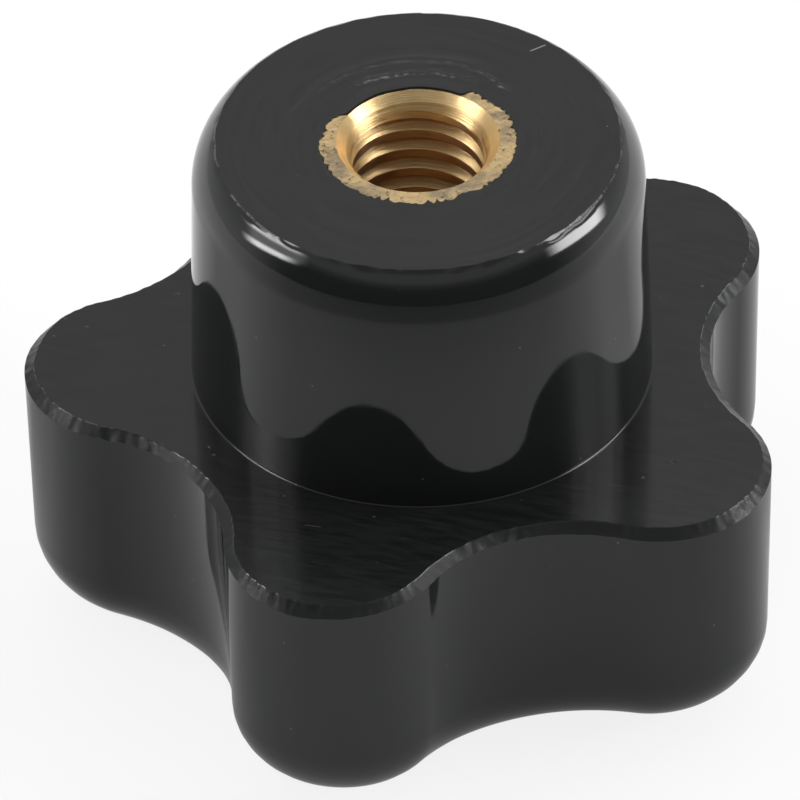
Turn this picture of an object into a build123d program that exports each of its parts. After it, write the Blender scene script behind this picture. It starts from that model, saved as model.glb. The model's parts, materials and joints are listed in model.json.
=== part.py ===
from build123d import *
import os
from math import atan, atan2, cos, degrees, pi, radians, sin, sqrt, tan

# A star knob with a blind M8 thread. Lengths are in millimetres and angles in degrees.
# One phenolic moulding, a five-lobed grip with a round hub on it, holds a knurled brass bush.
# The knob stands on the crown of its grip, with the hub and the mouth of the thread upwards.
# The origin is the middle of the crown, Z is the thread's axis and one lobe points along -Y.

# Grip
lobe_count = 5
tip_radius = 20.35  # axis to the tip of a lobe, where the wall meets the rim
lobe_radius = 5.75
waist_radius = 14.7  # axis to the floor of a valley, at the same height
grip_height = 15.1  # middle of the crown to the parting face
wall_draft = 1.1  # the wall narrows from the rim towards the crown
rim_width = 0.45  # broken edge round the parting face, where the flash was taken off
rim_height = 0.5
crown_radius = 135.0
crown_flat_radius = 6.0
crown_edge_bevel = 2.2

# Hub
hub_foot_radius = 11.8
hub_height = 14.3  # parting face to the faced end
hub_draft = 1.5
hub_root_bevel = 0.25
hub_shoulder_radius = 3.5
facing_depth = 0.78  # taken off the hub's moulded end, through its rounded shoulder

# Bush
bush_radius = 5.05  # to the tips of the knurl
bush_length = 16.5
knurl_teeth = 40
knurl_depth = 0.3
anchor_depth = 0.5  # groove that keeps the bush from pulling out
anchor_width = 2.5
anchor_place = 8.5  # mouth to the middle of the groove

# Tapped hole, M8 x 1.25, drawn at the thread's minor radius
thread_minor_radius = 3.3235
thread_depth = 13.0  # mouth to the end of the cylindrical wall
drill_point_angle = 118.0
mouth_radius = 4.12
mouth_angle = 90.0
lead_radius = 3.65  # where the mouth's cone meets the steeper lead-in cone
lead_angle = 60.0

total_height = grip_height + hub_height


def around(radius, angle):
    """The point at this radius and this angle, in radians, about the axis."""
    return (radius * cos(angle), radius * sin(angle))


def star():
    """The grip's outline: each lobe is an arc, and a valley arc is tangent to both its lobes."""
    half_step = pi / lobe_count
    lobe_place = tip_radius - lobe_radius
    along = lobe_place * cos(half_step)
    # The valley's circle touches the waist circle and two lobe circles.
    valley_radius = (
        (lobe_radius**2 - waist_radius**2 - lobe_place**2 + 2 * along * waist_radius)
        / (2 * (waist_radius - along - lobe_radius))
    )
    valley_x, valley_y = around(waist_radius + valley_radius, half_step)
    touch_angle = atan2(valley_y, valley_x - lobe_place)
    touch_x = lobe_place + lobe_radius * cos(touch_angle)
    touch_y = lobe_radius * sin(touch_angle)
    touch_radius = sqrt(touch_x**2 + touch_y**2)
    touch_turn = atan2(touch_y, touch_x)
    arcs = []
    for lobe in range(lobe_count):
        turn = 2 * half_step * lobe - pi / 2
        lobe_start = around(touch_radius, turn - touch_turn)
        lobe_end = around(touch_radius, turn + touch_turn)
        next_start = around(touch_radius, turn + 2 * half_step - touch_turn)
        arcs.append(ThreePointArc(lobe_start, around(tip_radius, turn), lobe_end))
        arcs.append(ThreePointArc(lobe_end, around(waist_radius, turn + half_step), next_start))
    return make_face(arcs)


def turned(*outline):
    """A solid of revolution about Z from the (radius, height) points of its half section."""
    return revolve(Plane.YZ * make_face(Polyline(*outline, close=True)), Axis.Z)


def crown():
    """The space under the crown's dome and above its central flat, as wide as the grip."""
    reach = tip_radius + rim_width
    centre_height = sqrt(crown_radius**2 - crown_flat_radius**2)

    def dome(radius):
        return (radius, centre_height - sqrt(crown_radius**2 - radius**2))

    half_section = [
        Line((0, 0), (crown_flat_radius, 0)),
        ThreePointArc(dome(crown_flat_radius), dome(0.5 * (crown_flat_radius + reach)), dome(reach)),
        Line(dome(reach), (reach, grip_height)),
        Line((reach, grip_height), (0, grip_height)),
        Line((0, grip_height), (0, 0)),
    ]
    # The dome's seam lies on +Y, which is the middle of a valley.
    return revolve(Plane.YZ * make_face(half_section), Axis.Z)


def grip():
    """The star with its drafted wall, broken rim and domed, bevelled crown."""
    outline = Pos(Z=grip_height - rim_height) * star()
    wall = extrude(outline, amount=-(grip_height - rim_height), taper=wall_draft)
    rim = extrude(outline, amount=rim_height, taper=degrees(atan(rim_width / rim_height)))
    blank = (wall & crown()) + rim
    lowest_edges = blank.faces().filter_by(GeomType.SPHERE)[0].outer_wire().edges()
    return chamfer(lowest_edges, crown_edge_bevel)


def hub():
    """The drafted hub, rounded at its moulded end and then faced down through the rounding."""
    moulded_height = hub_height + facing_depth
    end_radius = hub_foot_radius - moulded_height * tan(radians(hub_draft))
    blank = Cone(hub_foot_radius, end_radius, moulded_height, align=(Align.CENTER, Align.CENTER, Align.MIN))
    rounded = fillet(blank.edges().sort_by(Axis.Z)[-1], hub_shoulder_radius)
    faced = split(rounded, Plane.XY.offset(hub_height), keep=Keep.BOTTOM)
    return Pos(Z=grip_height) * faced


def knurled_blank():
    """The bush before it is drilled: a straight knurl, broken by the anchor groove."""
    root_radius = bush_radius - knurl_depth
    half_tooth = pi / knurl_teeth
    points = []
    for tooth in range(knurl_teeth):
        points.append(around(root_radius, 2 * half_tooth * tooth))
        points.append(around(bush_radius, 2 * half_tooth * tooth + half_tooth))
    knurl = extrude(make_face(Polyline(*points, close=True)), amount=bush_length)
    groove_low = bush_length - anchor_place - anchor_width / 2
    groove_floor = bush_radius - anchor_depth
    groove = turned(
        (groove_floor, groove_low),
        (bush_radius + anchor_depth, groove_low),
        (bush_radius + anchor_depth, groove_low + anchor_width),
        (groove_floor, groove_low + anchor_width),
    )
    return Pos(Z=total_height - bush_length) * (knurl - groove)


def tapped_hole():
    """The blind hole: mouth cone, lead-in cone, wall at the minor radius and drill point."""
    lead_depth = (mouth_radius - lead_radius) / tan(radians(mouth_angle / 2))
    wall_start = lead_depth + (lead_radius - thread_minor_radius) / tan(radians(lead_angle / 2))
    point_depth = thread_depth + thread_minor_radius / tan(radians(drill_point_angle / 2))
    hole = turned(
        (0, 0),
        (mouth_radius, 0),
        (lead_radius, -lead_depth),
        (thread_minor_radius, -wall_start),
        (thread_minor_radius, -thread_depth),
        (0, -point_depth),
    )
    return Pos(Z=total_height) * hole


def knob_body():
    """The moulding, grip and hub in one, with the pocket that the bush fills."""
    moulding = grip() + hub()
    circles = moulding.edges().filter_by(GeomType.CIRCLE)
    foot = circles.sort_by(lambda edge: abs(edge.radius - hub_foot_radius))[0]
    return chamfer(foot, hub_root_bevel) - knurled_blank()


def threaded_insert():
    """The brass bush, tapped from its mouth and closed at its inner end."""
    return knurled_blank() - tapped_hole()


os.makedirs("parts", exist_ok=True)
export_step(knob_body(), "parts/knob_body.step")
export_step(threaded_insert(), "parts/threaded_insert.step")
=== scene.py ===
import json
from math import cos, pi, radians, sin, sqrt, tan

import bmesh
import bpy
import numpy as np
from mathutils import Matrix, Vector, noise


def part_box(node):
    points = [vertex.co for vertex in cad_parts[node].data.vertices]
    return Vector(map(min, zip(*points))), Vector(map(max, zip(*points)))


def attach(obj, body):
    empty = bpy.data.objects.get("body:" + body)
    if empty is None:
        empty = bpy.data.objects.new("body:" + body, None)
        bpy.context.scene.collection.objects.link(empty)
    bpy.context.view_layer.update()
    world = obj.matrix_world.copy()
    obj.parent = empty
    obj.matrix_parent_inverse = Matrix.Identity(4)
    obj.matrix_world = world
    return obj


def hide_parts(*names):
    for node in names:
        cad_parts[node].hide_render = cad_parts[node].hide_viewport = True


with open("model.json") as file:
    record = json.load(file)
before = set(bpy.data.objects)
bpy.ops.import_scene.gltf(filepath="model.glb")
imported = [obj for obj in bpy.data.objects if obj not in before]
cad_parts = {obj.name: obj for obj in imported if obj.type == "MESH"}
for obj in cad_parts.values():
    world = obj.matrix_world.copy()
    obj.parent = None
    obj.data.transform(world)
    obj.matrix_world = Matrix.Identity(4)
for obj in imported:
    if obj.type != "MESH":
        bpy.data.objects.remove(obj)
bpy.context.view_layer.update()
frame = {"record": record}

# The star knob's finish, in the frame of the solids: Z is the thread's axis, the knob stands on
# its crown and one lobe points along -Y. Lengths are in millimetres, and angles are in radians
# unless a comment or a docstring says degrees.
MM = 0.001
knob_low, knob_high = (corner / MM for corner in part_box("knob_body"))
bush_low, bush_high = (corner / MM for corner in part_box("threaded_insert"))
thread_mount = next(m for m in frame["record"]["mounts"] if m["name"] == "thread")

# Grip, as in the solids
facet_gap = 0.006  # keeps the finish inside the solids' facets
lobe_count = 5
tip_radius = -knob_low.y - facet_gap
lobe_radius = 5.75
waist_radius = 14.7
grip_height = 15.1
wall_draft = radians(1.1)
rim_width = 0.45
rim_height = 0.5
crown_radius = 135.0
crown_flat_radius = 6.0
crown_edge_radius = 3.4
# Hub
hub_end = knob_high.z
hub_foot_radius = 11.8
hub_draft = radians(1.5)
hub_root_radius = 0.08
hub_shoulder_radius = 3.5
facing_depth = 0.78
# Bush
bush_floor = bush_low.z
bush_radius = bush_high.x
mouth_radius = 4.12
mouth_angle = radians(45)
lead_radius = 3.65
lead_angle = radians(30)
drill_angle = radians(59)
drill_tip_radius = 0.4
# M8 thread
minor_radius = thread_mount["dims"]["r_mm"]
thread_pitch = 1.25
thread_crest = 0.48
thread_depth = 13.0
flank_angle = radians(30)
thread_start = 0.62 * thread_pitch
# The cut faces
burr_room = 0.05  # between the faced level and the solids' end, for smears and burrs
facing_level = hub_end - burr_room
bush_face = facing_level - 0.015  # the brass was cut a little lower
edge_teeth = 41  # of the ragged line round the faced bush
milling_angle = radians(17.5)
# Where the two meshes meet
mesh_gap = 0.02  # keeps the bush's side off the pocket's wall
neck_start, neck_end = 0.7, 0.45  # depths between which the pocket narrows to the ragged line

# The camera: its place, its turn about Z, how far it looks down, its roll and its lens
camera_place = (157.76, -492.49, 452.03)
camera_heading = radians(17.892)
camera_pitch = radians(40.383)
camera_roll = radians(-1.207)
camera_lens = 596.08
camera_sensor = 36

random = np.random.default_rng(7)


# ---------------------------------------------------------------- curves and directions

def wander(angles, waves, size):
    """A smooth random curve that closes on itself, with this many waves and this root mean square."""
    total = np.zeros_like(angles)
    for wave in range(1, waves + 1):
        strength, phase = random.normal(), random.uniform(0, 2 * pi)
        total += strength * np.cos(wave * angles + phase)
    return size * total / np.sqrt(np.mean(total**2))


def smooth_step(value, low, high):
    """0 below low, 1 above high and a smooth curve between them."""
    share = np.clip((value - low) / (high - low), 0, 1)
    return share * share * (3 - 2 * share)


def between(value, start, end):
    """1 between two smooth steps, which are (low, high) pairs, and 0 outside them."""
    return smooth_step(value, *start) * (1 - smooth_step(value, *end))


def bearing(angles):
    """Angles as degrees from 0 to 360."""
    return np.degrees(angles) % 360


def unit(angles):
    """The flat unit vector at each angle."""
    return np.column_stack([np.cos(angles), np.sin(angles)])


def toward(azimuth, elevation):
    """A direction in space. Azimuth is in degrees from the knob's front, which faces the camera,
    to its right, and elevation is in degrees above the floor."""
    turn = camera_heading - pi / 2 + radians(azimuth)
    rise = radians(elevation)
    return Vector((cos(turn) * cos(rise), sin(turn) * cos(rise), sin(rise)))


def star_outline(count):
    """The grip's wall at its top: points round it, and the outward normal's angle at each. Each
    lobe and each valley is an arc, and neighbouring arcs touch with no corner."""
    half_step = pi / lobe_count
    lobe_place = tip_radius - lobe_radius
    along = lobe_place * cos(half_step)
    valley_radius = (
        (lobe_radius**2 - waist_radius**2 - lobe_place**2 + 2 * along * waist_radius)
        / (2 * (waist_radius - along - lobe_radius))
    )
    valley_place = waist_radius + valley_radius
    across = valley_place * sin(half_step)
    touch = np.arctan2(across, valley_place * cos(half_step) - lobe_place)
    lobe_length = 2 * touch * lobe_radius
    sweep = 2 * (touch - half_step)
    valley_length = sweep * valley_radius
    columns = count // lobe_count
    lobe_columns = round(columns * lobe_length / (lobe_length + valley_length))
    valley_columns = columns - lobe_columns
    points, normals = [], []
    for lobe in range(lobe_count):
        turn = 2 * half_step * lobe - pi / 2
        lobe_middle = lobe_place * np.array([cos(turn), sin(turn)])
        valley_middle = valley_place * np.array([cos(turn + half_step), sin(turn + half_step)])
        facing = turn - touch + 2 * touch * np.arange(lobe_columns) / lobe_columns
        points.append(lobe_middle + lobe_radius * unit(facing))
        normals.append(facing)
        facing = turn + touch - sweep * np.arange(valley_columns) / valley_columns
        points.append(valley_middle - valley_radius * unit(facing))
        normals.append(facing)
    return np.concatenate(points), np.concatenate(normals)


# ---------------------------------------------------------------- meshes from rings

def ring(plan, height):
    """A ring of points from its plan, at one height or at a height for each point."""
    return np.column_stack([plan, np.broadcast_to(height, len(plan))])


def circle(angles, radius, height):
    """A ring about the axis, whose radius and height may change along it."""
    plan = np.column_stack([radius * np.cos(angles), radius * np.sin(angles)])
    return ring(plan, height)


def strip(first, second, first_next, second_next, first_count, second_count):
    """Faces between two rings. Their counts are the same or differ by a factor of two, and the
    column after the last one is the first column of the rings that start at the next indices."""
    if first_count > second_count:
        flipped = strip(second, first, second_next, first_next, second_count, first_count)
        return [face[::-1] for face in flipped]
    ratio = second_count // first_count
    low = np.append(first + np.arange(first_count), first_next)
    high = np.append(second + np.arange(second_count), second_next)
    if ratio == 1:
        return np.column_stack([low[:-1], low[1:], high[1:], high[:-1]]).tolist()
    before, middle, after = high[:-1:2], high[1::2], high[2::2]
    return (
        np.column_stack([low[:-1], middle, before]).tolist()
        + np.column_stack([low[:-1], low[1:], middle]).tolist()
        + np.column_stack([low[1:], after, middle]).tolist()
    )


def add_object(name, data):
    """A new object in the scene."""
    made = bpy.data.objects.new(name, data)
    bpy.context.scene.collection.objects.link(made)
    return made


class Skin:
    """A closed mesh through a list of rings, capped at both ends."""

    merge_distance = 0.0005

    def __init__(self):
        self.rings, self.finishes, self.seams = [], [], []

    def add(self, points, finish, seam=None):
        """A ring, the finish of the strip that leads to it and the ring that goes on from its end."""
        self.seams.append(len(self.rings) if seam is None else seam)
        self.rings.append(points)
        self.finishes.append(finish)

    def faces(self):
        """All faces and their finishes. The caps' middle points come after the rings' points."""
        sizes = [len(one) for one in self.rings]
        starts = np.cumsum([0] + sizes)
        faces, finishes = [], []
        for index in range(1, len(sizes)):
            before = index - 1
            new = strip(
                starts[before], starts[index],
                starts[self.seams[before]], starts[self.seams[index]],
                sizes[before], sizes[index],
            )
            faces += new
            finishes += [self.finishes[index]] * len(new)
        for index, middle in ((0, starts[-1]), (len(sizes) - 1, starts[-1] + 1)):
            for here in range(sizes[index]):
                after = (here + 1) % sizes[index]
                faces.append([starts[index] + here, starts[index] + after, middle])
                finishes.append(self.finishes[index])
        return faces, finishes

    def piece(self, name, materials, sharp_angle):
        """The finished object. Edges sharper than this angle, in degrees, stay sharp."""
        middles = [self.rings[0].mean(0), self.rings[-1].mean(0)]
        points = np.concatenate(self.rings + [np.array(middles)])
        faces, finishes = self.faces()
        mesh = bpy.data.meshes.new(name)
        mesh.from_pydata((points * MM).tolist(), [], faces)
        for material in materials:
            mesh.materials.append(material)
        mesh.polygons.foreach_set("material_index", finishes)
        shape = bmesh.new()
        shape.from_mesh(mesh)
        bmesh.ops.remove_doubles(shape, verts=shape.verts, dist=self.merge_distance * MM)
        bmesh.ops.recalc_face_normals(shape, faces=shape.faces)
        shape.to_mesh(mesh)
        shape.free()
        mesh.shade_smooth()
        mesh.set_sharp_from_angle(angle=radians(sharp_angle))
        return add_object(name, mesh)


# ---------------------------------------------------------------- node helpers

def feed(tree, target, **inputs):
    """Sets a node's inputs, by name or by number as in _0, to numbers, colours or vectors, or
    links them to the sockets that feed them."""
    for name, value in inputs.items():
        number = name[1:]
        socket = target.inputs[int(number) if number.isdigit() else name.replace("_", " ")]
        if isinstance(value, bpy.types.NodeSocket):
            tree.links.new(value, socket)
        else:
            socket.default_value = value


def node(tree, kind, **values):
    """A new node. Each value is for its setting of that name or, if it has none, for its input."""
    made = tree.nodes.new(kind)
    for name, value in values.items():
        if hasattr(made, name):
            setattr(made, name, value)
        else:
            feed(tree, made, **{name: value})
    return made


def maths(tree, operation, first, second=0.0):
    """A Math node's output."""
    return node(tree, "ShaderNodeMath", operation=operation, _0=first, _1=second).outputs[0]


def vector_maths(tree, operation, first, second=(0.0, 0.0, 0.0), scale=1.0):
    """A Vector Math node's output: a number for a length or a dot product, and else a vector."""
    made = node(tree, "ShaderNodeVectorMath", operation=operation, _0=first, _1=second, _3=scale)
    return made.outputs["Value" if operation in ("LENGTH", "DOT_PRODUCT") else "Vector"]


def axes(tree, vector):
    """A vector's three parts."""
    return node(tree, "ShaderNodeSeparateXYZ", _0=vector).outputs


def geometry(tree, output):
    """An output of the Geometry node."""
    return node(tree, "ShaderNodeNewGeometry").outputs[output]


def ramp(tree, value, low, high, to_low=0.0, to_high=1.0):
    """A smooth step from to_low to to_high as value goes from low to high."""
    made = node(
        tree, "ShaderNodeMapRange", interpolation_type="SMOOTHSTEP",
        _0=value, _1=low, _2=high, _3=to_low, _4=to_high,
    )
    return made.outputs[0]


def blend(tree, share, first, second):
    """A colour between two."""
    return node(tree, "ShaderNodeMix", data_type="RGBA", _0=share, _6=first, _7=second).outputs[2]


def grey(level):
    """A grey colour."""
    return level, level, level, 1.0


def empty_tree(owner):
    """The emptied node tree of a material, a lamp or the world."""
    owner.use_nodes = True
    owner.node_tree.nodes.clear()
    return owner.node_tree


def new_material(name):
    """A new node material and its shader."""
    material = bpy.data.materials.new(name)
    tree = empty_tree(material)
    shader = node(tree, "ShaderNodeBsdfPrincipled")
    node(tree, "ShaderNodeOutputMaterial", Surface=shader.outputs[0])
    return material, tree, shader


# ---------------------------------------------------------------- marks and places

def place_in_mm(tree):
    """The shaded point in the object's own frame, in millimetres."""
    place = node(tree, "ShaderNodeTexCoord").outputs["Object"]
    return vector_maths(tree, "SCALE", place, scale=1 / MM)


def turned_place(tree, place, angle, along, across):
    """The place turned about Z by an angle and stretched along and across that direction."""
    return node(
        tree, "ShaderNodeMapping", vector_type="POINT", _0=place,
        _2=(0.0, 0.0, -angle), _3=(along, across, along),
    ).outputs[0]


def ring_place(tree, place, around):
    """A vector for marks that run round the axis: it goes up by 1 for each millimetre outwards or
    upwards, and round the axis it changes by this much for each radian."""
    x, y, z = axes(tree, place)
    flat = node(tree, "ShaderNodeCombineXYZ", _0=x, _1=y).outputs[0]
    radius = vector_maths(tree, "LENGTH", flat)
    direction = vector_maths(tree, "NORMALIZE", flat)
    wide_x, wide_y, _ = axes(tree, vector_maths(tree, "SCALE", direction, scale=around))
    outward = maths(tree, "ADD", radius, z)
    return node(tree, "ShaderNodeCombineXYZ", _0=wide_x, _1=wide_y, _2=outward).outputs[0]


def frontness(tree, way):
    """How far a direction points to the knob's front, from -1 to 1."""
    return vector_maths(tree, "DOT_PRODUCT", vector_maths(tree, "NORMALIZE", way), toward(0, 0))


def grain(tree, place, scale, detail=2.0, roughness=0.5):
    """Noise between 0 and 1 at a place."""
    made = node(
        tree, "ShaderNodeTexNoise", Vector=place, Scale=scale, Detail=detail, Roughness=roughness
    )
    return made.outputs[0]


def bump(tree, height, depth, under=None):
    """A normal from a height between 0 and 1, whose depth is in millimetres."""
    made = node(tree, "ShaderNodeBump", Strength=1.0, Distance=depth * MM, Height=height)
    if under is not None:
        feed(tree, made, Normal=under)
    return made.outputs[0]


def specks(tree, place, scale, size, share):
    """Small round marks at random places; share is how many of the cells have one."""
    cells = node(tree, "ShaderNodeTexVoronoi", Vector=place, Scale=scale)
    chosen = axes(tree, cells.outputs["Color"])[0]
    spot = ramp(tree, cells.outputs["Distance"], size * 0.5, size, 1.0, 0.0)
    return maths(tree, "MULTIPLY", spot, maths(tree, "LESS_THAN", chosen, share))


def scratch(tree, place, middle, angle, length, width):
    """A short straight mark: 1 on it and 0 elsewhere."""
    local = vector_maths(tree, "SUBTRACT", place, (*middle, 0.0))
    local = axes(tree, turned_place(tree, local, angle, along=1.0, across=1.0))
    ends = ramp(tree, maths(tree, "ABSOLUTE", local[0]), 0.35 * length, 0.5 * length, 1.0, 0.0)
    sides = ramp(tree, maths(tree, "ABSOLUTE", local[1]), 0.25 * width, 0.5 * width, 1.0, 0.0)
    return maths(tree, "MULTIPLY", ends, sides)


def softer_at_grazing(tree, roughness):
    """The roughness of a cut face, which loses its gloss where it is seen edge on."""
    edge_on = node(tree, "ShaderNodeLayerWeight", Blend=0.5).outputs["Facing"]
    return maths(tree, "MAXIMUM", roughness, ramp(tree, edge_on, 0.5, 0.85, 0.0, 0.6))


# ---------------------------------------------------------------- materials

phenolic_ior = 1.58
phenolic_colour = (0.0088, 0.0095, 0.0096, 1.0)
faced_colours = (0.0070, 0.0074, 0.0080, 1.0), (0.0105, 0.0105, 0.0107, 1.0)
milled_colours = (0.0054, 0.0058, 0.0061, 1.0), (0.0122, 0.0127, 0.0131, 1.0)
brass_colour = (0.74, 0.53, 0.26, 1.0)
# A painted shade for the turned brass, on the faces deep in the bore that don't look up
shaded_brass_colour = (0.56, 0.34, 0.18, 1.0)
dull_brass_colour = (0.56, 0.42, 0.225, 1.0)
stained_brass_colour = (0.33, 0.26, 0.17, 1.0)
pitted_brass_colour = (0.13, 0.09, 0.06, 1.0)
painted_shade_depths = 1.7, 1.1  # below the hub's end, where the turned brass goes from painted shade to its own colour


def phenolic(name):
    """A material with the phenolic's colour and gloss, and the shaded point in millimetres."""
    material, tree, shader = new_material(name)
    feed(tree, shader, Base_Color=phenolic_colour, IOR=phenolic_ior)
    return material, tree, shader, place_in_mm(tree)


def moulded_phenolic():
    """The glossy moulded skin, very slightly wavy, with a few specks of dust."""
    material, tree, shader, place = phenolic("phenolic_moulded")
    gloss = grain(tree, place, scale=0.6, detail=3.0)
    dust = specks(tree, place, scale=0.9, size=0.07, share=0.25)
    waves = bump(tree, grain(tree, place, scale=0.35, detail=1.0), depth=0.006)
    ripples = grain(tree, place, scale=6.0, detail=2.0)
    feed(
        tree, shader,
        Base_Color=blend(tree, dust, phenolic_colour, grey(0.09)),
        Roughness=ramp(tree, gloss, 0.3, 0.8, 0.045, 0.10),
        Normal=bump(tree, ripples, depth=0.0006, under=waves),
    )
    return material


def faced_phenolic():
    """The hub's end, turned flat: faint rings, dust and one white scratch."""
    material, tree, shader, place = phenolic("phenolic_faced")
    rings = grain(tree, ring_place(tree, place, around=0.6), scale=4.0, detail=3.0, roughness=0.7)
    nick = scratch(tree, place, middle=(3.7, 8.75), angle=radians(48), length=1.05, width=0.09)
    dust = specks(tree, place, scale=0.8, size=0.07, share=0.12)
    marks = maths(tree, "MAXIMUM", nick, maths(tree, "MULTIPLY", dust, 0.6))
    tone = blend(tree, grain(tree, place, scale=0.12, detail=2.0), *faced_colours)
    waves = bump(tree, grain(tree, place, scale=0.3, detail=1.0), depth=0.01)
    feed(
        tree, shader,
        Base_Color=blend(tree, marks, tone, grey(0.25)),
        Roughness=softer_at_grazing(tree, ramp(tree, rings, 0.3, 0.7, 0.16, 0.26)),
        Normal=bump(tree, rings, depth=0.0022, under=waves),
    )
    return material


def milled_phenolic():
    """The parting face: fine lines in one direction, small pits, dust and a nick."""
    material, tree, shader, place = phenolic("phenolic_milled")
    line_place = turned_place(tree, place, milling_angle, along=0.55, across=4.0)
    lines = grain(tree, line_place, scale=1.0, detail=3.0, roughness=0.6)
    nick = scratch(tree, place, middle=(-1.4, -14.2), angle=radians(4.5), length=0.97, width=0.06)
    dust = specks(tree, place, scale=0.75, size=0.10, share=0.3)
    tone = blend(tree, ramp(tree, lines, 0.3, 0.7), *milled_colours)
    pit_place = turned_place(tree, place, milling_angle, along=0.5, across=1.0)
    pits = specks(tree, pit_place, scale=1.1, size=0.10, share=0.35)
    hollow = bump(tree, maths(tree, "SUBTRACT", 1.0, pits), depth=0.02)
    along = (cos(milling_angle), sin(milling_angle), 0)
    feed(
        tree, shader,
        Base_Color=blend(tree, maths(tree, "MAXIMUM", nick, dust), tone, grey(0.06)),
        Roughness=softer_at_grazing(tree, 0.15),
        Anisotropic=0.9,
        Tangent=vector_maths(tree, "CROSS_PRODUCT", geometry(tree, "Normal"), along),
        Normal=bump(tree, lines, depth=0.004, under=hollow),
    )
    return material


def broken_phenolic():
    """The rim, where the flash was scraped off: rough and dull."""
    material, tree, shader, place = phenolic("phenolic_broken")
    speckle = grain(tree, place, scale=5.0, detail=3.0, roughness=0.6)
    feed(
        tree, shader,
        Base_Color=blend(tree, ramp(tree, speckle, 0.62, 0.80), phenolic_colour, grey(0.024)),
        Roughness=ramp(tree, speckle, 0.3, 0.7, 0.32, 0.44),
        Specular_IOR_Level=0.24,
        Normal=bump(tree, speckle, depth=0.011),
    )
    return material


def worn_and_highlit_phenolic():
    """The sharp edges of the cut faces, with pale chips everywhere but at the front: partly wear and
    partly a painted highlight, which is left off the front, towards the studio's darker side.
    """
    material, tree, shader, place = phenolic("phenolic_worn")
    chips_and_highlight = ramp(tree, grain(tree, place, scale=1.1, detail=3.0, roughness=0.7), 0.44, 0.60)
    # Painted highlight: the pale chips are left off the edge where it faces the front
    not_in_front = ramp(tree, frontness(tree, place), 0.15, 0.32, 1.0, 0.0)
    chips_and_highlight = maths(tree, "MULTIPLY", chips_and_highlight, not_in_front)
    feed(
        tree, shader,
        Base_Color=blend(tree, chips_and_highlight, phenolic_colour, grey(0.07)),
        Roughness=ramp(tree, chips_and_highlight, 0.0, 1.0, 0.12, 0.5),
    )
    return material


def turned_brass():
    """The cones and the thread, with fine turning lines. Below the mouth only the faces that look up
    keep the brass's own colour, and the others are darker with a painted shade."""
    material, tree, shader = new_material("brass_turned")
    place = place_in_mm(tree)
    lines = grain(tree, ring_place(tree, place, around=0.10), scale=9.0, detail=3.0, roughness=0.7)
    facing_up = ramp(tree, axes(tree, geometry(tree, "Normal"))[2], 0.05, 0.5)
    near_end = ramp(tree, axes(tree, place)[2], *(hub_end - depth for depth in painted_shade_depths))
    # Painted shade: below the mouth, faces that don't look up are given the darker colour
    unshaded = maths(tree, "MAXIMUM", facing_up, near_end)
    feed(
        tree, shader,
        Base_Color=blend(tree, unshaded, shaded_brass_colour, brass_colour),
        Metallic=1.0,
        Roughness=ramp(tree, grain(tree, place, scale=1.2, detail=3.0), 0.3, 0.7, 0.29, 0.38),
        Anisotropic=0.7,
        Anisotropic_Rotation=0.25,
        Tangent=node(tree, "ShaderNodeTangent", direction_type="RADIAL", axis="Z").outputs[0],
        Normal=bump(tree, lines, depth=0.028),
    )
    return material


def faced_brass():
    """The bush's end, faced off with the hub and left rough."""
    material, tree, shader = new_material("brass_faced")
    place = place_in_mm(tree)
    speckle = grain(tree, place, scale=2.6, detail=4.0, roughness=0.65)
    pits = ramp(tree, speckle, 0.33, 0.43, 1.0, 0.0)
    stain = ramp(tree, grain(tree, place, scale=0.55, detail=3.0, roughness=0.6), 0.42, 0.62)
    tone = blend(tree, stain, dull_brass_colour, stained_brass_colour)
    feed(
        tree, shader,
        Base_Color=blend(tree, pits, tone, pitted_brass_colour),
        Metallic=1.0,
        Roughness=0.55,
        Normal=bump(tree, speckle, depth=0.12),
    )
    return material


# ---------------------------------------------------------------- moulding

MOULDED, FACED, MILLED, BROKEN, WORN_AND_HIGHLIT = range(5)
rim_columns = 1200  # the hub and the bush have half as many, and the thread a quarter


def dragged(angles):
    """1 where the facing cut dragged the moulding over the bush's edge, 0 elsewhere."""
    start, end = (70, 77), (165, 172)  # degrees
    return between(bearing(angles), start, end)


def bush_edge(angles):
    """The ragged line where the faced bush meets the moulding, as a radius at each angle."""
    tooth_depth = 0.20
    least_ring, covered_ring = 0.02, 0.05  # of brass left round the mouth
    marks = (
        # degrees, radius
        (0, 5.02), (40, 4.98), (50, 4.8), (58, 4.7), (69, 4.78),
        (172, 4.55), (176, 4.8), (190, 4.82), (199, 5.03), (360, 5.02),
    )
    base = np.interp(bearing(angles), *zip(*marks))
    teeth = np.abs(np.sin(0.5 * edge_teeth * angles + wander(angles, waves=12, size=0.9))) ** 0.6
    depth = np.clip(tooth_depth + wander(angles, waves=18, size=0.12), 0.03, 0.42)
    ragged = base - depth * (1 - teeth) + wander(angles, waves=110, size=0.022)
    covered = mouth_radius + covered_ring + wander(angles, waves=16, size=0.02)
    radius = ragged + (covered - ragged) * dragged(angles)
    return np.clip(radius, mouth_radius + least_ring, bush_radius)


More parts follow.
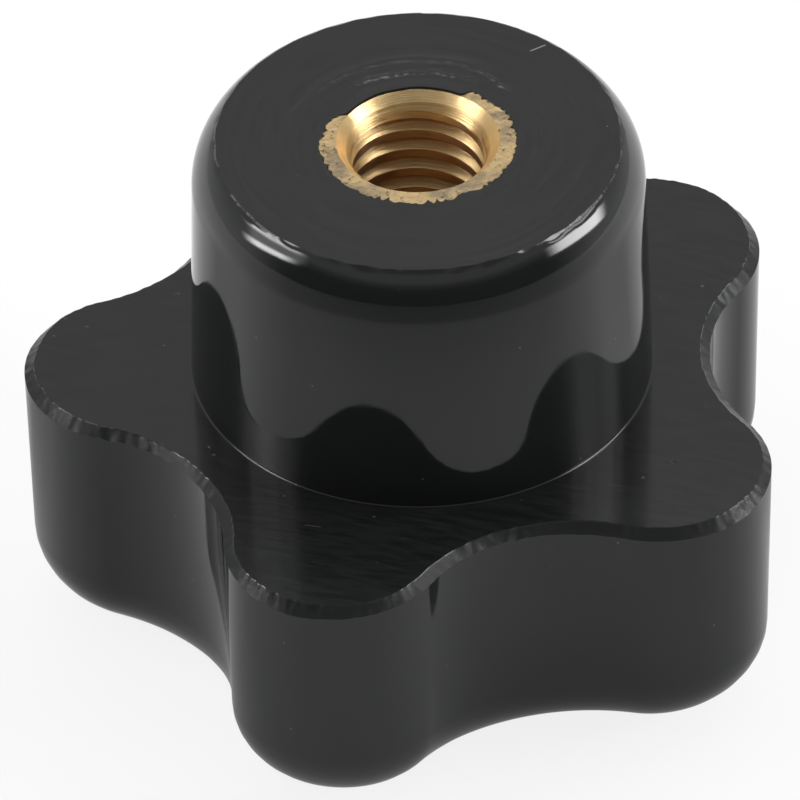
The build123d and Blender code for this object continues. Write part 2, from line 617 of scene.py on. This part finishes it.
def hub_profile():
    """(radius, height) points down the hub's outside, from its faced edge to its foot."""
    worn_turn = 0.026  # the angle of the shoulder that the worn edge takes away
    moulded_end = hub_end + facing_depth
    middle_height = moulded_end - hub_shoulder_radius
    rise = middle_height - grip_height
    middle_radius = hub_foot_radius - rise * tan(hub_draft) - hub_shoulder_radius / cos(hub_draft)
    cut_angle = np.arcsin((facing_level - middle_height) / hub_shoulder_radius)
    profile = []
    for angle in np.linspace(cut_angle - worn_turn, hub_draft, 20):
        radius = middle_radius + hub_shoulder_radius * cos(angle)
        profile.append((radius, middle_height + hub_shoulder_radius * sin(angle)))
    top_radius, top_height = profile[-1]
    root = hub_root_radius
    side_radius = hub_foot_radius - root * tan(hub_draft)
    side_height = grip_height + root
    for share in (0.25, 0.5, 0.75, 0.995, 1.0):
        radius = top_radius + (side_radius - top_radius) * share
        profile.append((radius, top_height + (side_height - top_height) * share))
    for angle in np.linspace(0, pi / 2, 6)[1:]:
        radius = side_radius + root * (1 - cos(angle))
        profile.append((radius, grip_height + root * (1 - sin(angle))))
    return profile


def face_relief(points):
    """Height of the smears and tool marks that the facing cut left round the bush."""
    drag_height, drag_reach = 0.04, (4.25, 5.1)
    start_fade, end_fade = 12, 16  # degrees
    waver_length = 14  # degrees
    speckle_scale, speckle_strength = 3.5, 2.2
    highest = 0.045
    smears = (
        # radius, width, height, first and last angle in degrees, waver, roughness
        (5.45, 0.19, 0.028, 66, 152, 0.16, 0.5),
        (6.55, 0.30, 0.042, 72, 200, 0.06, 0.15),
        (6.9, 0.10, -0.012, 70, 185, 0.05, 0.1),
        (7.7, 0.18, 0.010, 60, 210, 0.05, 0.3),
        (6.15, 0.14, 0.034, 52, 86, 0.25, 0.5),
        (6.2, 0.15, 0.008, 225, 285, 0.10, 0.6),
    )
    radius = np.hypot(points[:, 0], points[:, 1])
    angle = np.arctan2(points[:, 1], points[:, 0])
    turned = bearing(angle)
    relief = drag_height * dragged(angle) * (1 - smooth_step(radius, *drag_reach))
    for middle, width, height, start, end, waver, rough in smears:
        sway = [noise.noise(Vector((t / waver_length, middle, 0))) for t in turned]
        path = middle + waver * np.array(sway)
        speckle = np.array([
            noise.noise(Vector((x * speckle_scale, y * speckle_scale, middle))) for x, y, _ in points
        ])
        strength = between(turned, (start, start + start_fade), (end - end_fade, end))
        strength = strength * np.clip(1 + speckle_strength * rough * speckle, 0, 2)
        relief += strength * height * np.exp(-(((radius - path) / width) ** 2))
    return np.minimum(relief, highest)


def dome(plan):
    """Height of the crown under each point of a plan."""
    reach = np.maximum(np.hypot(plan[:, 0], plan[:, 1]), crown_flat_radius)
    return sqrt(crown_radius**2 - crown_flat_radius**2) - np.sqrt(crown_radius**2 - reach**2)


def rim_break(columns):
    """Width, depth and hollow of the rim's broken edge at each column of the wall. The edge is
    deeper round the lobes than in the valleys."""
    lobe_depth = 0.12
    angles = np.linspace(0, 2 * pi, columns, endpoint=False)
    lobe = 0.5 + 0.5 * np.cos(lobe_count * (angles - angles[columns // lobe_count // 4]))
    width = rim_width + wander(angles, waves=30, size=0.03)
    width += wander(angles, waves=260, size=0.014)
    depth = rim_height + lobe_depth * (lobe - 0.5) + wander(angles, waves=20, size=0.05)
    depth += wander(angles, waves=200, size=0.014)
    hollow = np.abs(wander(angles, waves=200, size=0.009))
    return np.clip(width, 0.25, 0.6), np.clip(depth, 0.25, 0.85), hollow


def add_hub(skin, angles, edge):
    """The pocket, the faced end and the hub's side. Returns the radius of the hub's foot."""
    floor_gap = 0.01
    edge_width, edge_drop = 0.04, 0.06  # the faced end's inner edge; the outer one drops as much
    crease_width = 0.10
    smeared_share = 0.42  # of the faced end, where the rings lie closer together
    # Pocket
    pocket = bush_radius + mesh_gap
    skin.add(circle(angles, pocket, bush_floor - floor_gap), MOULDED)
    skin.add(circle(angles, pocket, facing_level - neck_start), MOULDED)
    skin.add(circle(angles, edge, facing_level - neck_end), MOULDED)
    skin.add(circle(angles, edge, facing_level - edge_drop), FACED)
    # Faced end
    profile = hub_profile()
    nibble = np.clip(wander(angles, waves=45, size=0.03), 0, 0.08)
    end_radius = profile[0][0] - nibble
    crease = end_radius - crease_width + wander(angles, waves=40, size=0.018)
    inner = edge + edge_width
    shares = (np.linspace(0, smeared_share, 40), np.linspace(smeared_share, 1, 13)[1:])
    for share in np.concatenate(shares):
        points = circle(angles, inner + (crease - inner) * share, facing_level)
        points[:, 2] += face_relief(points)
        skin.add(points, FACED)
    skin.add(circle(angles, end_radius, facing_level - edge_drop), WORN_AND_HIGHLIT)
    # Shoulder, side and root
    for radius, height in profile[1:]:
        skin.add(circle(angles, radius, height), MOULDED)
    return profile[-1][0]


def add_grip(skin, plan, facing, foot_radius):
    """The parting face round the hub's foot, its broken rim, the wall and the domed crown."""
    lip_width, lip_drop = 0.06, 0.035  # the sharp edge between the parting face and the rim
    rim_overlap = 0.01
    outward = unit(facing)

    def inside(inset, height, finish):
        skin.add(ring(plan - outward * inset[:, None], height), finish)

    # Parting face
    foot = circle(np.arctan2(plan[:, 1], plan[:, 0]), foot_radius, 0)[:, :2]
    width, depth, scoop = rim_break(len(plan))
    lip = plan - outward * (width + lip_width)[:, None]
    for share in (0.01, 0.2, 0.4, 0.6, 0.8, 0.99, 1):
        skin.add(ring(foot + (lip - foot) * share, grip_height), MILLED)
    # Rim
    edge = width + rim_overlap
    inside(edge, grip_height - lip_drop, WORN_AND_HIGHLIT)
    for share in np.linspace(0, 1, 8)[1:]:
        hollow = scoop * np.sin(pi * share)
        height = grip_height - lip_drop - (depth - lip_drop) * share - 0.3 * hollow
        inside(edge * (1 - share) + hollow, height, BROKEN)
    # Wall
    wall_top = grip_height - depth
    wall_end = crown_edge_radius + dome(plan)
    for share in (0.01, 0.25, 0.5, 0.75, 0.99, 1.0):
        drop = (wall_top - wall_end) * share
        inside(drop * tan(wall_draft), wall_top - drop, MOULDED)
    # Crown edge
    wall_inset = (wall_top - wall_end) * tan(wall_draft)
    for turn in np.linspace(0, pi / 2, 10)[1:]:
        inset = wall_inset + crown_edge_radius * (1 - cos(turn))
        points = plan - outward * inset[:, None]
        skin.add(ring(points, dome(points) + crown_edge_radius * (1 - sin(turn))), MOULDED)
    # Dome, down to the flat that the knob stands on
    last = skin.rings[-1][::2, :2]
    reach = np.hypot(last[:, 0], last[:, 1])
    for share in np.linspace(0, 1, 9)[1:]:
        points = last * (1 + (crown_flat_radius / reach - 1) * share)[:, None]
        skin.add(ring(points, dome(points)), MOULDED)


def moulding(plan, facing, hub_angles, edge):
    """Grip and hub in one closed skin, from the pocket's floor outwards to the crown."""
    skin = Skin()
    foot_radius = add_hub(skin, hub_angles, edge)
    add_grip(skin, plan, facing, foot_radius)
    finishes = (
        moulded_phenolic(), faced_phenolic(), milled_phenolic(), broken_phenolic(), worn_and_highlit_phenolic()
    )
    return skin.piece("moulding", finishes, sharp_angle=20)


# ---------------------------------------------------------------- bush

BRASS_TURNED, BRASS_FACED = range(2)
lead_depth = (mouth_radius - lead_radius) / tan(mouth_angle)


def thread_profile():
    """One pitch of the thread as (distance down the axis, radius) points: the flank that faces
    the mouth, the crest with its rounded upper edge and the hidden flank."""
    rounding = 0.07  # half the length of the crest's rounded edge, along the axis
    rounded_heights = 0.045, 0.012  # above the crest, at a quarter and at half of that edge
    flank = (thread_pitch - thread_crest) / 2
    height = flank / tan(flank_angle)
    profile = [(0, minor_radius + height)]
    for share in (0.33, 0.66, 1.0):
        fall = (rounding * height / flank - height) * share
        profile.append(((flank - rounding) * share, minor_radius + height + fall))
    return profile + [
        (flank - 0.5 * rounding, minor_radius + rounded_heights[0]),
        (flank, minor_radius + rounded_heights[1]),
        (flank + rounding, minor_radius),
        (flank + thread_crest, minor_radius),
    ]


def add_bush_end(skin, angles, edge):
    """The bush's hidden side and its faced end, which is sunk where the moulding covers it."""
    sunk_depth = 0.05
    edge_gap, edge_width, edge_drop = 0.005, 0.02, 0.03
    start_gap, end_gap = 0.02, 0.01  # below the pocket's neck
    roughness, rough_scale = 0.06, 2.2
    outer = bush_radius - mesh_gap
    sunk = bush_face - sunk_depth * dragged(angles)
    mouth = np.minimum(mouth_radius, edge - edge_width)
    skin.add(circle(angles, outer, bush_floor), BRASS_FACED)
    skin.add(circle(angles, outer, facing_level - neck_start - start_gap), BRASS_FACED)
    skin.add(circle(angles, edge, facing_level - neck_end - end_gap), BRASS_FACED)
    skin.add(circle(angles, edge - edge_gap, sunk - edge_drop), BRASS_FACED)
    for share in np.linspace(0, 1, 10):
        radius = edge - edge_width + (mouth - edge + edge_width) * share
        points = circle(angles, radius, sunk)
        rough = [abs(noise.noise(Vector((x, y, 0)) * rough_scale)) for x, y, _ in points]
        points[:, 2] -= roughness * np.array(rough) * (1 - smooth_step(share, 0.75, 1))
        skin.add(points, BRASS_FACED)


def add_mouth(skin, angles):
    """The mouth's cone, from the faced end down to the lead-in cone."""
    start = skin.rings[-1]
    reach = np.hypot(start[:, 0], start[:, 1])
    for share in np.linspace(0, 1, 7)[1:]:
        height = start[:, 2] + (bush_face - lead_depth - start[:, 2]) * share
        skin.add(circle(angles, reach + (lead_radius - reach) * share, height), BRASS_TURNED)


def add_thread(skin, angles):
    """The lead-in cone and the thread. The thread's rows follow its helix, so that its edges are
    crisp: each row's end meets the start of the row one pitch before it. Rows that would start
    above the cone fold onto its edge."""
    spare_turns = 3
    cut_in = lead_depth + 0.3, lead_depth + 0.7
    run_out = thread_depth - 2.5, thread_depth - 0.5
    profile = thread_profile()
    for turn in range(-spare_turns, int(thread_depth / thread_pitch) + spare_turns + 1):
        for along, radius in profile:
            depth = thread_start + along + thread_pitch * (turn - angles / (2 * pi))
            depth = np.clip(depth, lead_depth, thread_depth)
            grooved = minor_radius + (radius - minor_radius) * between(depth, cut_in, run_out)
            cone = lead_radius - (depth - lead_depth) * tan(lead_angle)
            seam = len(skin.rings) - (len(profile) if turn > -spare_turns else 0)
            skin.add(circle(angles, np.maximum(grooved, cone), bush_face - depth), BRASS_TURNED, seam)


def add_drill_point(skin, angles):
    """The cone at the bottom of the hole."""
    depth = thread_depth + (minor_radius - drill_tip_radius) / tan(drill_angle)
    skin.add(circle(angles, drill_tip_radius, bush_face - depth), BRASS_TURNED)


def bush(angles, edge):
    """The brass bush, with its ragged faced end, two mouth cones and the thread. Its columns are
    those of the moulding's pocket, so the two meet along the same ragged line."""
    skin = Skin()
    add_bush_end(skin, angles, edge)
    add_mouth(skin, angles)
    add_thread(skin, angles[::2])
    add_drill_point(skin, angles[::2])
    return skin.piece("bush", (turned_brass(), faced_brass()), sharp_angle=13)


# ---------------------------------------------------------------- stage

aim_height = 20  # of the point on the axis that the lamps face
lamp_distance = 600
# name, azimuth and elevation, width and height, radiance at the two ends, roll and soft border
lamps = (
    ("softbox_right", 87.5, 23.3, 40, 16.5, (9.5, 12.5), -24, (0.27, 0.18)),
    ("softbox_right_high", 106, 53, 24, 18, (7.5, 7.5), 0, (0.2, 0.3)),
    ("softbox_left_upper", -85.5, 35.5, 34, 10, (10.5, 3.5), 29, (0.2, 0.45)),
    ("softbox_left_lower", -79.5, 19.5, 36, 10, (11.5, 11.0), 30, (0.35, 0.4)),
    ("softbox_left_high", -110, 57, 24, 14, (6.0, 6.0), 0, (0.2, 0.3)),
    ("side_light_right", 87.3, 39.5, 13, 9, (4.1, 4.1), 0, (0.12, 0.2)),
    ("side_light_right_far", 103.7, 39.5, 13, 9, (3.4, 3.4), 0, (0.12, 0.2)),
    ("side_light_left", -89.5, 39.5, 17, 8, (3.3, 3.3), 0, (0.12, 0.25)),
    ("fill_left", -80, 29, 36, 22, (1.3, 1.3), 29, (0.2, 0.3)),
    ("softbox_top", 180, 65, 50, 20, (3.0, 3.0), 0, (0.2, 0.3)),
)


def softbox(name, azimuth, elevation, wide, high, levels, roll, border):
    """A rectangular lamp that faces the knob. wide and high are its angles as the knob sees them,
    levels its radiance at its two ends and border the share of each side over which it fades.
    All its angles are in degrees."""
    distance = lamp_distance * MM
    lamp = bpy.data.lights.new(name, "AREA")
    lamp.shape = "RECTANGLE"
    lamp.size = 2 * distance * tan(radians(wide / 2))
    lamp.size_y = 2 * distance * tan(radians(high / 2))
    lamp.energy = lamp.size * lamp.size_y * pi
    tree = empty_tree(lamp)
    place = axes(tree, geometry(tree, "Parametric"))
    level = node(tree, "ShaderNodeMapRange", _0=place[0], _3=levels[0], _4=levels[1]).outputs[0]
    for axis, fade in enumerate(border):
        inwards = maths(tree, "PINGPONG", place[axis], 0.5)
        level = maths(tree, "MULTIPLY", level, ramp(tree, inwards, 0.0, fade))
    glow = node(tree, "ShaderNodeEmission", Strength=level).outputs[0]
    node(tree, "ShaderNodeOutputLight", Surface=glow)
    aim = Vector((0, 0, aim_height * MM))
    direction = toward(azimuth, elevation)
    add_object(name, lamp).matrix_world = (
        Matrix.Translation(aim + direction * distance)
        @ direction.to_track_quat("Z", "Y").to_matrix().to_4x4()
        @ Matrix.Rotation(radians(roll), 4, "Z")
    )


def step_ramp(tree, value, stops):
    """A grey level from (value, level) pairs, read off along a straight line between them. The
    first two pairs are the ramp's two ends."""
    made = node(tree, "ShaderNodeValToRGB", Fac=value)
    colours = made.color_ramp.elements
    for index, (place, level) in enumerate(stops):
        stop = colours[index] if index < 2 else colours.new(place)
        stop.position = place
        stop.color = grey(level)
    return made.outputs[0]


def surroundings():
    """A pale studio that is darker on the camera's side, and white where the camera sees it."""
    world = bpy.data.worlds.new("studio")
    bpy.context.scene.world = world
    tree = empty_tree(world)
    direction = node(tree, "ShaderNodeTexCoord").outputs["Generated"]
    height = axes(tree, direction)[2]
    level_way = vector_maths(tree, "MULTIPLY", direction, (1, 1, 0))
    in_front = step_ramp(tree, height, [
        (0.0, 0.06), (1.0, 0.22),
        (0.42, 0.07), (0.54, 0.22), (0.62, 0.42), (0.77, 0.42), (0.84, 0.25), (0.93, 0.18),
    ])
    behind = step_ramp(tree, height, [(0.0, 0.7), (1.0, 0.6), (0.3, 0.55), (0.66, 0.47), (0.9, 0.6)])
    level = blend(tree, ramp(tree, frontness(tree, level_way), -0.1, 0.5), behind, in_front)
    seen = node(tree, "ShaderNodeLightPath").outputs["Is Camera Ray"]
    light = node(tree, "ShaderNodeBackground", Color=blend(tree, seen, level, grey(1)))
    node(tree, "ShaderNodeOutputWorld", Surface=light.outputs[0])


def floor_material():
    """White to the camera apart from the knob's soft shadow, and pale to other light. To the knob's
    gloss it shows a painted glow, brighter behind the knob than in front of it, with a painted shadow
    close to the knob at its sides and towards its back."""
    near_reach, far_reach = 36 * MM, 62 * MM
    camera_glow, gloss_glow = 0.85, 0.5  # shares of the light that don't depend on the lamps
    material = bpy.data.materials.new("pale_floor")
    tree = empty_tree(material)
    place = geometry(tree, "Position")
    turn = maths(tree, "MULTIPLY", maths(tree, "ADD", frontness(tree, place), 1.0), 0.5)
    # Painted shadow: close to the knob the glow is darker at its sides and towards its back
    near = step_ramp(tree, turn, [
        (0.0, 1.0), (1.0, 0.52),
        (0.06, 1.0), (0.12, 0.80), (0.2, 0.64), (0.34, 0.45), (0.5, 0.68), (0.75, 0.50),
    ])
    far = step_ramp(tree, turn, [(0.0, 1.0), (1.0, 0.21), (0.25, 0.93), (0.5, 0.76), (0.75, 0.32)])
    distance = vector_maths(tree, "LENGTH", place)
    level = blend(tree, ramp(tree, distance, near_reach, far_reach), near, far)
    tinted = node(tree, "ShaderNodeBsdfDiffuse", Color=level).outputs[0]
    pale = node(tree, "ShaderNodeBsdfDiffuse", Color=grey(0.9)).outputs[0]
    white = node(tree, "ShaderNodeEmission", Strength=1.0).outputs[0]
    glow = node(tree, "ShaderNodeEmission", Color=level, Strength=1.0).outputs[0]
    rays = node(tree, "ShaderNodeLightPath").outputs

    def mixed(share, first, second):
        return node(tree, "ShaderNodeMixShader", _0=share, _1=first, _2=second).outputs[0]

    other = mixed(rays["Is Glossy Ray"], pale, mixed(gloss_glow, tinted, glow))
    surface = mixed(rays["Is Camera Ray"], other, mixed(camera_glow, pale, white))
    node(tree, "ShaderNodeOutputMaterial", Surface=surface)
    return material


def floor():
    """The table that the knob stands on."""
    size = 3000 * MM
    mesh = bpy.data.meshes.new("floor")
    corners = [(-size, -size, 0), (size, -size, 0), (size, size, 0), (-size, size, 0)]
    mesh.from_pydata(corners, [], [(0, 1, 2, 3)])
    mesh.materials.append(floor_material())
    plane = add_object("floor", mesh)


def camera():
    """A long lens that looks down at the knob from its front."""
    far_end = 10  # metres
    view = add_object("camera", bpy.data.cameras.new("camera"))
    view.data.sensor_width = camera_sensor
    view.data.lens = camera_lens
    view.data.clip_end = far_end
    view.matrix_world = (
        Matrix.Translation(Vector(camera_place) * MM)
        @ Matrix.Rotation(camera_heading, 4, "Z")
        @ Matrix.Rotation(pi / 2 - camera_pitch, 4, "X")
        @ Matrix.Rotation(camera_roll, 4, "Z")
    )
    bpy.context.scene.camera = view


# ---------------------------------------------------------------- all together

camera()
surroundings()
floor()
for lamp in lamps:
    softbox(*lamp)

outline, outline_facing = star_outline(rim_columns)
hub_angles = np.unwrap(np.arctan2(outline[::2, 1], outline[::2, 0]))
ragged_edge = bush_edge(hub_angles)
knob = moulding(outline, outline_facing, hub_angles, ragged_edge)
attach(knob, "root")
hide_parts("knob_body")
brass = bush(hub_angles, ragged_edge)
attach(brass, "root")
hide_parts("threaded_insert")

bpy.context.scene.view_settings.view_transform = "Standard"
